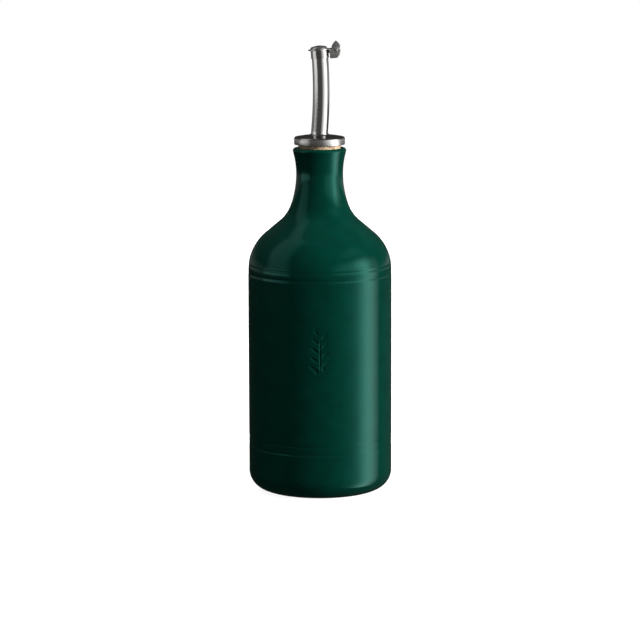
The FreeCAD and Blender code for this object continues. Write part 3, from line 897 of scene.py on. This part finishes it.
# %% Collar and bracket sizes
COLLAR_GAP = 0.06 * MM
COLLAR_SHEET = 0.3 * MM
COLLAR_HEIGHT = 3.9 * MM
COLLAR_DROP = 0.3 * MM
BRACKET_GAP = 0.5 * MM
BRACKET_DEPTH = 4.65 * MM
BRACKET_TOP_DROP = 0.3 * MM
BRACKET_BRIDGE = 1.5 * MM
BRACKET_HEEL_RADIUS = 4.2 * MM
BRACKET_ROUND = 0.35 * MM
BRIDGE_SINK = 0.05 * MM
EAR_THICKNESS = 1.1 * MM
EAR_TOP_RADIUS = 1.5 * MM
EAR_BACK = 2.3 * MM
CUT_ROUND = 0.08 * MM
LEVER_WIDTH = 3.0 * MM
LEVER_SIDE_PLAY = 0.15 * MM
LEVER_BACK = 2.4 * MM
LEVER_BACK_HEIGHT = 1.1 * MM
KNUCKLE_RADIUS = 1.15 * MM
KNUCKLE_FRONT_GAP = 0.3 * MM
FLAP_STOP_GAP = 0.1 * MM

tube_taper = (TUBE_FOOT_RADIUS - TUBE_TIP_RADIUS) / bow_reach
collar_inner = TUBE_TIP_RADIUS + tube_taper * (COLLAR_DROP + COLLAR_HEIGHT) + COLLAR_GAP
collar_outer = collar_inner + COLLAR_SHEET
collar_low = -COLLAR_DROP - COLLAR_HEIGHT
bracket_front = collar_outer + BRACKET_GAP
bracket_back = PIN_OFFSET + EAR_BACK
slot_width = LEVER_WIDTH + 2 * LEVER_SIDE_PLAY
bracket_width = slot_width + 2 * EAR_THICKNESS
opening = radians(hinge["range_deg"][1])
heel_depth = LEVER_BACK * sin(opening) - LEVER_BACK_HEIGHT * cos(opening)
slot_floor = pin_at[1] - heel_depth - FLAP_STOP_GAP
slot_front = PIN_OFFSET - KNUCKLE_RADIUS - KNUCKLE_FRONT_GAP
print("bracket", round(bracket_width / MM, 2), "mm wide, slot floor", round(slot_floor / MM, 2), "mm")


# %% Make the collar and its bracket
def bracket_outline():
    """The bracket from the side: ear, heel, foot and front."""
    back_top = (bracket_back, pin_at[1] - EAR_TOP_RADIUS / 2)
    sweep = degrees(asin(min((back_top[1] + BRACKET_DEPTH) / BRACKET_HEEL_RADIUS, 1)))
    front_top = (bracket_front, -BRACKET_TOP_DROP)
    ear = arc(pin_at, EAR_TOP_RADIUS, touch_angle(front_top, pin_at, EAR_TOP_RADIUS, -1),
              touch_angle(back_top, pin_at, EAR_TOP_RADIUS, 1), 14)
    heel = arc((bracket_back - BRACKET_HEEL_RADIUS, back_top[1]), BRACKET_HEEL_RADIUS, 0, -sweep, 14)
    return ear + heel + [(bracket_front, -BRACKET_DEPTH), front_top, ear[0]]


band = lathe("hinge_collar_band", [(collar_inner, collar_low), (collar_outer, collar_low),
                                   (collar_outer, -COLLAR_DROP), (collar_inner, -COLLAR_DROP),
                                   (collar_inner, collar_low)], steps=96)
bracket = plate("bracket", bracket_outline(), bracket_width)
round_edges(bracket, BRACKET_ROUND, 4)
bridge_low = (collar_inner + BRIDGE_SINK, -bracket_width / 2, -BRACKET_TOP_DROP - BRACKET_BRIDGE)
bridge_high = (bracket_front + BRACKET_GAP, bracket_width / 2, -BRACKET_TOP_DROP)
carve(bracket, block("bridge", bridge_low, bridge_high), "UNION")
beyond = (3 * bracket_back, slot_width / 2, BRACKET_DEPTH)
carve(bracket, block("slot", (slot_front, -slot_width / 2, slot_floor), beyond))
carve(bracket, block("saddle", (0, -slot_width / 2, -BRACKET_TOP_DROP), beyond))
round_edges(bracket, CUT_ROUND, 2)
carve(band, bracket, "UNION")
collar = smooth(seat_on_tip(mend_cuts(band)))
dress(collar, COLLAR_STEEL, "cruet", "satin_steel", "hinge_collar")

# %% [markdown]
# ## The hinge pin
# A wire is pushed through both ears, and its ends are hammered into low domes. A cylinder
# with two spheres would leave seams, so one spun outline holds the shank and both heads.

# %% Rivet the pin
PIN_RADIUS = 0.6 * MM
PIN_HEAD_RADIUS = 0.95 * MM
PIN_HEAD_HEIGHT = 0.4 * MM
# Shares of the head's radius and height, from near its top to its rim.
PIN_HEAD_SHAPE = ((0.35, 1), (0.8, 0.72), (1, 0.25), (1, 0))

head = [(r * PIN_HEAD_RADIUS, z * PIN_HEAD_HEIGHT) for r, z in PIN_HEAD_SHAPE] + [(PIN_RADIUS, 0)]
half = bracket_width / 2
pin_points = [(0, half + PIN_HEAD_HEIGHT)] + [(r, half + z) for r, z in head]
pin_points += [(r, -half - z) for r, z in reversed(head)] + [(0, -half - PIN_HEAD_HEIGHT)]
pin = lay_across(lathe("hinge_pin_riveted", pin_points, steps=32))
smooth(seat_on_tip(pin))
dress(pin, TUMBLED, "cruet", "satin_steel", "hinge_pin")
pin_middle = sum((Vector(corner) for corner in pin.bound_box), Vector()) / 8
print("pin to hinge axis", round((pin_middle - Vector(hinge["pos_m"])).length / MM, 3), "mm")

# %% [markdown]
# ## The flap lid
# A press dishes the lid from thin sheet and leaves it a flat brim. A scaled sphere would be
# quicker, but the real dish is a shallow arc with a tighter corner, and both can be spun.
# The strap that runs back to the lever is joined on afterwards.

# %% Flap lid
FLAP_UNDER = 0.05 * MM
FLAP_SHEET = 0.55 * MM
FLAP_RADIUS = 5.5 * MM
FLAP_OFFSET = -0.3 * MM
FLAP_DOME_RADIUS = 4.4 * MM
FLAP_DOME_HEIGHT = 1.8 * MM
FLAP_SHOULDER_RADIUS = 1.4 * MM
BRIM_ROUND = 0.12 * MM
STRAP_WIDTH = 2.6 * MM
STRAP_INSET = 0.01 * MM
STRAP_END_GAP = 0.02 * MM
flap_top = FLAP_UNDER + FLAP_SHEET


def dome(foot_r, crown_z, corner_r, start_z, steps):
    """Crown and corner of a dished lid, from the axis down to the brim."""
    inner = foot_r - corner_r
    side = crown_z - start_z - corner_r
    crown_r = (inner ** 2 + side ** 2 - corner_r ** 2 + 2 * side * corner_r) / (2 * side)
    centre_z = crown_z - crown_r
    touch = degrees(atan2(start_z - centre_z, inner))
    crown = arc((0, centre_z), crown_r, 90, touch, steps)
    return crown + arc((inner, start_z), corner_r, touch, 0, 8)[1:]


lid_points = dome(FLAP_DOME_RADIUS, flap_top + FLAP_DOME_HEIGHT, FLAP_SHOULDER_RADIUS, flap_top, 10)
lid_points += arc((FLAP_RADIUS - BRIM_ROUND, flap_top - BRIM_ROUND), BRIM_ROUND, 90, 0, 3)
lid_points += arc((FLAP_RADIUS - BRIM_ROUND, FLAP_UNDER + BRIM_ROUND), BRIM_ROUND, 0, -90, 3)
lid_points += dome(FLAP_DOME_RADIUS - FLAP_SHEET, FLAP_UNDER + FLAP_DOME_HEIGHT,
                   FLAP_SHOULDER_RADIUS - FLAP_SHEET / 2, FLAP_UNDER, 10)[::-1]
lid = lathe("flap_lid_pressed", lid_points, steps=96)
lid.location = (FLAP_OFFSET, 0, 0)
settle(lid)
strap_low = (FLAP_DOME_RADIUS, -STRAP_WIDTH / 2, FLAP_UNDER + STRAP_INSET)
strap_high = (PIN_OFFSET - KNUCKLE_RADIUS - STRAP_END_GAP, STRAP_WIDTH / 2, flap_top - STRAP_INSET)
strap = round_edges(block("strap", strap_low, strap_high), BRIM_ROUND, 2)
carve(lid, strap, "UNION")
lid = smooth(seat_on_tip(lid))
dress(lid, PRESSED, "flap", "polished_steel", "flap_lid")

# %% [markdown]
# ## The thumb lever
# The lever is one casting: a tab for the thumb, a toe on the strap, and a knuckle round the
# pin. It could be carved from a block, but its side view holds every size, so it is drawn
# as an outline with slightly bowed flanks, given its width, rounded and bored.

# %% Thumb lever
LEVER_TIP_HEIGHT = 4.3 * MM
LEVER_TIP_LEAN = 0.25 * MM
LEVER_TIP_ROUND = 0.45 * MM
LEVER_FRONT = 2.3 * MM
LEVER_EDGE_ROUND = 0.35 * MM
LEVER_CROWN = 0.3 * MM
LEVER_ROUND = 0.32 * MM
PIN_PLAY = 0.05 * MM


def bowed(start, end, rise, steps=8):
    """Points between two corners on a shallow bow to the left of the way from start to end."""
    run = (end[0] - start[0], end[1] - start[1])
    reach = hypot(*run)
    points = []
    for step in range(1, steps):
        share = step / steps
        lift = 4 * rise * share * (1 - share) / reach
        points.append((start[0] + share * run[0] - lift * run[1],
                       start[1] + share * run[1] + lift * run[0]))
    return points


def lever_outline():
    """The lever from the side: tip, back, knuckle, toe and front."""
    tip_centre = (pin_at[0] + LEVER_TIP_LEAN, pin_at[1] + LEVER_TIP_HEIGHT - LEVER_TIP_ROUND)
    front = (PIN_OFFSET - LEVER_FRONT, flap_top)
    front_high = (front[0], flap_top + LEVER_EDGE_ROUND)
    back = (pin_at[0] + LEVER_BACK, pin_at[1] + LEVER_BACK_HEIGHT)
    points = arc(tip_centre, LEVER_TIP_ROUND, touch_angle(front_high, tip_centre, LEVER_TIP_ROUND, -1),
                 touch_angle(back, tip_centre, LEVER_TIP_ROUND, 1), 6)
    points += bowed(points[-1], back, LEVER_CROWN) + [back]
    points += arc(pin_at, KNUCKLE_RADIUS, touch_angle(back, pin_at, KNUCKLE_RADIUS, -1) - 360, -180, 12)
    points += [(PIN_OFFSET - KNUCKLE_RADIUS, flap_top), front, front_high]
    return points + bowed(front_high, points[0], LEVER_CROWN) + [points[0]]


lever = plate("thumb_lever_cast", lever_outline(), LEVER_WIDTH)
round_edges(lever, LEVER_ROUND, 4)
bore = begin("pin_hole", bpy.ops.mesh.primitive_cylinder_add, vertices=48,
             radius=PIN_RADIUS + PIN_PLAY, depth=4 * LEVER_WIDTH)
carve(lever, lay_across(bore))
lever = smooth(seat_on_tip(mend_cuts(lever)))
dress(lever, TUMBLED, "flap", "satin_steel", "thumb_lever")

# %% [markdown]
# ## The camera
# A long lens keeps the bottle's sides nearly parallel, as in a catalogue. Shifting the lens
# could frame it too, but a slight tilt keeps the head in view from every side.

# %% Camera
CAMERA_DISTANCE = 1.476
CAMERA_HEIGHT = 0.322
CAMERA_ASIDE = 0.6 * MM
CAMERA_PITCH = 8.968
CAMERA_ROLL = 0.143
CAMERA_LENS = 160.23

camera_data = bpy.data.cameras.new("camera")
camera = bpy.data.objects.new("camera", camera_data)
bpy.context.scene.collection.objects.link(camera)
camera.location = (CAMERA_ASIDE, -CAMERA_DISTANCE, CAMERA_HEIGHT)
camera.rotation_euler = (radians(90 - CAMERA_PITCH), radians(CAMERA_ROLL), 0)
camera_data.lens = CAMERA_LENS
camera_data.sensor_width = 36.0
camera_data.clip_start = 0.05
bpy.context.scene.camera = camera
bpy.context.scene.view_settings.view_transform = "Standard"

# %% [markdown]
# ## The floor and the world
# The room is pale paper under a white world. Strong lamps could burn both to white, but
# would bleach the glaze too. So the white is only for rays from the camera, a mirror or
# clear glass, and matt faces gather a weak fill. The floor mixes in real paper, which keeps
# the shadow. What mirrors see of all this is settled by the dark tent, further down.


# %% Floor
def seen_by_camera(tree):
    """1 for rays that show the surface itself, and 0 for rays that only gather light."""
    path = node(tree, "LightPath")
    seen = node(tree, "Math", {0: path.outputs["Is Camera Ray"], 1: path.outputs["Is Glossy Ray"]},
                operation="MAXIMUM")
    return node(tree, "Math", {0: seen, 1: path.outputs["Is Transmission Ray"]}, operation="MAXIMUM")


def bare_material(name):
    """A material whose node tree is still empty, for things that only glow."""
    material = bpy.data.materials.new(name)
    material.use_nodes = True
    material.node_tree.nodes.clear()
    return material, material.node_tree


FLOOR_SIZE = 8.0
FLOOR_DROP = 0.05 * MM
FLOOR_GREY = 0.9
FLOOR_GLOW = 1.2
FLOOR_GLOW_SHARE = 0.76


def studio_floor():
    """A paper floor just under the foot. It lights no piece, by bounce or by mirror."""
    floor = begin("studio_floor", bpy.ops.mesh.primitive_plane_add, size=FLOOR_SIZE,
                  location=(0, 0, -FLOOR_DROP))
    material, tree = bare_material("pale_floor")
    paper = node(tree, "BsdfDiffuse", inputs={"Color": (FLOOR_GREY, FLOOR_GREY, FLOOR_GREY, 1)})
    white = node(tree, "Emission", inputs={"Color": linear(WHITE), "Strength": FLOOR_GLOW})
    share = node(tree, "Math", {0: seen_by_camera(tree)}, {1: FLOOR_GLOW_SHARE}, operation="MULTIPLY")
    mixed = node(tree, "MixShader", {0: share, 1: paper, 2: white})
    # From below the floor is clear, so that the foot of the bottle can be looked at too.
    below = node(tree, "NewGeometry").outputs["Backfacing"]
    clear = node(tree, "BsdfTransparent")
    one_sided = node(tree, "MixShader", {0: below, 1: mixed, 2: clear})
    node(tree, "OutputMaterial", {0: one_sided})
    floor.data.materials.append(material)
    floor.visible_glossy = False
    floor.visible_diffuse = False
    return floor


studio_floor()

# %% World
WORLD_FILL = 0.4

world = bpy.data.worlds.new("studio")
bpy.context.scene.world = world
world.use_nodes = True
world.node_tree.nodes.clear()
world_tree = world.node_tree
white = node(world_tree, "Background", inputs={"Color": linear(WHITE), "Strength": 1.0})
fill = node(world_tree, "Background", inputs={"Color": linear(WHITE), "Strength": WORLD_FILL})
mixed = node(world_tree, "MixShader", {0: seen_by_camera(world_tree), 1: fill, 2: white})
node(world_tree, "OutputWorld", {0: mixed})

# %% [markdown]
# ## Soft boxes
# Glaze and steel show little of their own colour and much of the room: the stripes on them
# are soft boxes. An area lamp makes a stripe, but also changes the matt colour, so each box
# is a glowing card that only reflections see. The right boxes draw the broad highlight, a
# low card on the left draws the tube's left stripe, and a tall one leans in over the bottle,
# because a highlight runs on down the neck only where the card follows its slope.


# %% Cards
def card_light(name, strength, stops, half_width, height, fade):
    """Light that follows a ramp across a card, and dies away below its top edge."""
    material, tree = bare_material(name)
    place = node(tree, "SeparateXYZ", {0: node(tree, "TexCoord").outputs["Object"]})
    along = node(tree, "MapRange", {0: place.outputs["X"]},
                 {"From Min": -half_width, "From Max": half_width})
    shade = node(tree, "ValToRGB", {0: along}, stops=stops)
    level = node(tree, "MapRange", {0: place.outputs["Z"]},
                 {"From Min": height - fade, "From Max": height, "To Min": strength, "To Max": 0.0},
                 interpolation_type="SMOOTHSTEP")
    light = node(tree, "Emission", {0: shade, 1: level})
    node(tree, "OutputMaterial", {0: light})
    return material


def only_mirrored(thing):
    """Hide a thing from every ray but a reflection."""
    thing.visible_camera = False
    thing.visible_diffuse = False
    thing.visible_shadow = False
    thing.visible_transmission = False


def soft_box(name, azimuth, distance, low, high, half_angle, strength, stops, lean=(0, 0), fade=MM):
    """A glowing panel that stands on its low edge. Azimuth 0 is at the camera, and it grows
    to the right. The first lean is inwards over the bottle, and the second is sideways."""
    half_width = distance * tan(radians(half_angle))
    panel = begin(name, bpy.ops.mesh.primitive_grid_add, x_subdivisions=8, y_subdivisions=8, size=1)
    panel.scale = (2 * half_width, high - low, 1)
    panel.rotation_euler = (radians(90), 0, 0)
    panel.location = (0, 0, (high - low) / 2)
    settle(panel)
    panel.rotation_euler = (-radians(lean[0]), radians(lean[1]), radians(azimuth))
    panel.location = (distance * sin(radians(azimuth)), -distance * cos(radians(azimuth)), low)
    panel.data.materials.append(card_light(name, strength, stops, half_width, high - low, fade))
    only_mirrored(panel)
    print(name, round(2 * half_width, 2), "m wide,", round(high - low, 2), "m high")
    return panel


def spread(azimuths, centre, half_angle):
    """Ramp positions on a flat panel for these azimuths, with their greys."""
    stops = []
    for azimuth, grey in azimuths:
        position = (tan(radians(azimuth - centre)) / tan(radians(half_angle)) + 1) / 2
        stops.append((position, grey))
    return stops


# %% Hang the cards
# The right box has a low half for the body and a high half for the neck and the steel.
RIGHT_CENTRE = 62
RIGHT_HALF = 44
RIGHT_STRENGTH = 3.4
soft_box("right_box_low", RIGHT_CENTRE, 0.5, -0.5, 0.1, RIGHT_HALF, RIGHT_STRENGTH,
         spread([(18, "#1C1C1C"), (34, "#343434"), (48, "#585858"), (56, "#7A7A7A"), (62, "#A0A0A0"),
                 (70, "#D6D6D6"), (77, "#F4F4F4"), (84, "#F2F2F2"), (90, "#D8D8D8"), (96, "#ACACAC"),
                 (102, "#7A7A7A"), (106, "#585858")], RIGHT_CENTRE, RIGHT_HALF))
soft_box("right_box_high", RIGHT_CENTRE, 0.5, 0.1, 0.44, RIGHT_HALF, RIGHT_STRENGTH,
         spread([(18, "#404040"), (22, "#4E4E4E"), (37, "#7E7E7E"), (45, "#8E8E8E"), (53, "#A0A0A0"),
                 (60, "#BEBEBE"), (66, "#E0E0E0"), (72, "#F4F4F4"), (80, "#EEEEEE"), (86, "#B4B4B4"),
                 (94, "#7A7A7A"), (106, "#5A5A5A")], RIGHT_CENTRE, RIGHT_HALF), fade=0.2)
soft_box("right_box_top", RIGHT_CENTRE, 0.52, 0.3, 0.75, 30, 0.36,
         [(0.0, "#6A6A6A"), (0.6, WHITE), (1.0, "#8A8A8A")])
soft_box("left_box", -75, 0.9, 0.04, 0.15, 26, 1.0,
         [(0.0, "#E6E6E6"), (0.5, WHITE), (1.0, "#E6E6E6")])
soft_box("left_box_top", -70, 0.9, 0.155, 1.72, 22, 0.42,
         [(0.0, "#8A8A8A"), (0.25, WHITE), (0.75, WHITE), (1.0, "#8A8A8A")], lean=(19, -14))

# %% [markdown]
# ## Lamps
# The cards light nothing matt. Three round lamps do that, and hide from reflections in
# turn: a key from the right, a weaker one from above for the shoulder, and one from behind,
# so that the back is not black. A brighter world would do it too, but flatly.

# %% Matt light
LAMP_AIM = 0.11


def diffuse_lamp(name, azimuth, elevation, distance, size, watts):
    """A soft disc of light aimed at the bottle, at a height a little below its middle."""
    light = bpy.data.lights.new(name, "AREA")
    light.shape = "DISK"
    light.size = size
    light.energy = watts
    lamp = bpy.data.objects.new(name, light)
    bpy.context.scene.collection.objects.link(lamp)
    flat = distance * cos(radians(elevation))
    lamp.location = (flat * sin(radians(azimuth)), -flat * cos(radians(azimuth)),
                     LAMP_AIM + distance * sin(radians(elevation)))
    lamp.rotation_euler = (radians(90 - elevation), 0, radians(azimuth))
    lamp.visible_camera = False
    lamp.visible_glossy = False
    print(name, watts, "W from", azimuth, "degrees round and", elevation, "degrees up")
    return lamp


diffuse_lamp("key_lamp", 68, 15, 1.1, 0.4, 38.0)
diffuse_lamp("top_lamp", -20, 80, 1.1, 0.5, 13.0)
diffuse_lamp("back_lamp", -165, 12, 1.3, 0.5, 34.0)

# %% [markdown]
# ## The dark tent
# In a white room a polished tube loses its dark stripes, so studios hang black flags round
# it. Separate flags could be placed here, but one sphere that only reflections see is
# simpler. As the floor hides from reflections too, the steel and the glaze see nothing but
# this tent and the cards. Its walls are dark greys round the room, darker below table
# height, with a paler rim on the right and a plain roof. Heights are from its centre.

# %% Hang the tent
TENT_RADIUS = 2.2
TENT_CENTRE = 0.1
WALL_FOOT = {"From Min": -0.24, "From Max": -0.14}
RIM_RISE = {"From Min": -0.13, "From Max": -0.08}
RIM_FALL = {"From Min": 0.06, "From Max": 0.2, "To Min": 1.0, "To Max": 0.0}
ROOF_START = {"From Min": 0.0, "From Max": 0.35}
ROOF_CLIMB = {"From Min": 0.0, "From Max": 2.0}


def flag_tent():
    """A dark tent that only reflections see, so that the glaze and steel keep contrast."""
    tent = begin("black_flags", bpy.ops.mesh.primitive_uv_sphere_add, segments=48, ring_count=24,
                 radius=TENT_RADIUS, location=(0, 0, TENT_CENTRE))
    material, tree = bare_material("black_velvet")
    place = node(tree, "SeparateXYZ", {0: node(tree, "TexCoord").outputs["Object"]})
    back = node(tree, "Math", {0: place.outputs["Y"]}, {1: -1.0}, operation="MULTIPLY")
    turn = node(tree, "Math", {0: place.outputs["X"], 1: back}, operation="ARCTAN2")
    around = node(tree, "MapRange", {0: turn}, {"From Min": -pi, "From Max": pi})
    up = place.outputs["Z"]
    high = node(tree, "ValToRGB", {0: around},
                stops=[(0.0, "#3C3C3C"), (0.09, "#686868"), (0.19, "#808080"), (0.26, "#606060"),
                       (0.35, "#484848"), (0.4, "#525252"), (0.44, "#464646"), (0.5, "#4B4B4B"),
                       (0.56, "#545454"), (0.62, "#606060"), (0.8, "#404040"), (0.98, "#303030")])
    low = node(tree, "ValToRGB", {0: around},
               stops=[(0.0, "#202020"), (0.2, "#1A1A1A"), (0.5, "#1C1C1C"), (0.62, "#303030"),
                      (0.8, "#363636"), (0.91, "#3C3C3C"), (0.98, "#202020")])
    height = node(tree, "MapRange", {0: up}, WALL_FOOT)
    walls = node(tree, "Mix", {0: height, 6: low, 7: high}, data_type="RGBA")
    rim = node(tree, "ValToRGB", {0: around},
               stops=[(0.74, "#000000"), (0.79, "#989898"), (0.91, "#989898"), (0.95, "#000000")])
    rise = node(tree, "MapRange", {0: up}, RIM_RISE)
    fall = node(tree, "MapRange", {0: up}, RIM_FALL)
    band = node(tree, "Math", {0: rise, 1: fall}, operation="MULTIPLY")
    shade = node(tree, "Mix", {0: band, 6: walls.outputs[2], 7: rim},
                 data_type="RGBA", blend_type="LIGHTEN")
    climb = node(tree, "MapRange", {0: up}, ROOF_CLIMB)
    roof = node(tree, "ValToRGB", {0: climb}, stops=[(0.35, "#303030"), (0.7, "#3C3C3C")])
    above = node(tree, "MapRange", {0: up}, ROOF_START)
    shade = node(tree, "Mix", {0: above, 6: shade.outputs[2], 7: roof}, data_type="RGBA")
    light = node(tree, "Emission", {0: shade.outputs[2]}, {"Strength": 1.0})
    node(tree, "OutputMaterial", {0: light})
    tent.data.materials.append(material)
    only_mirrored(tent)
    return tent


flag_tent()
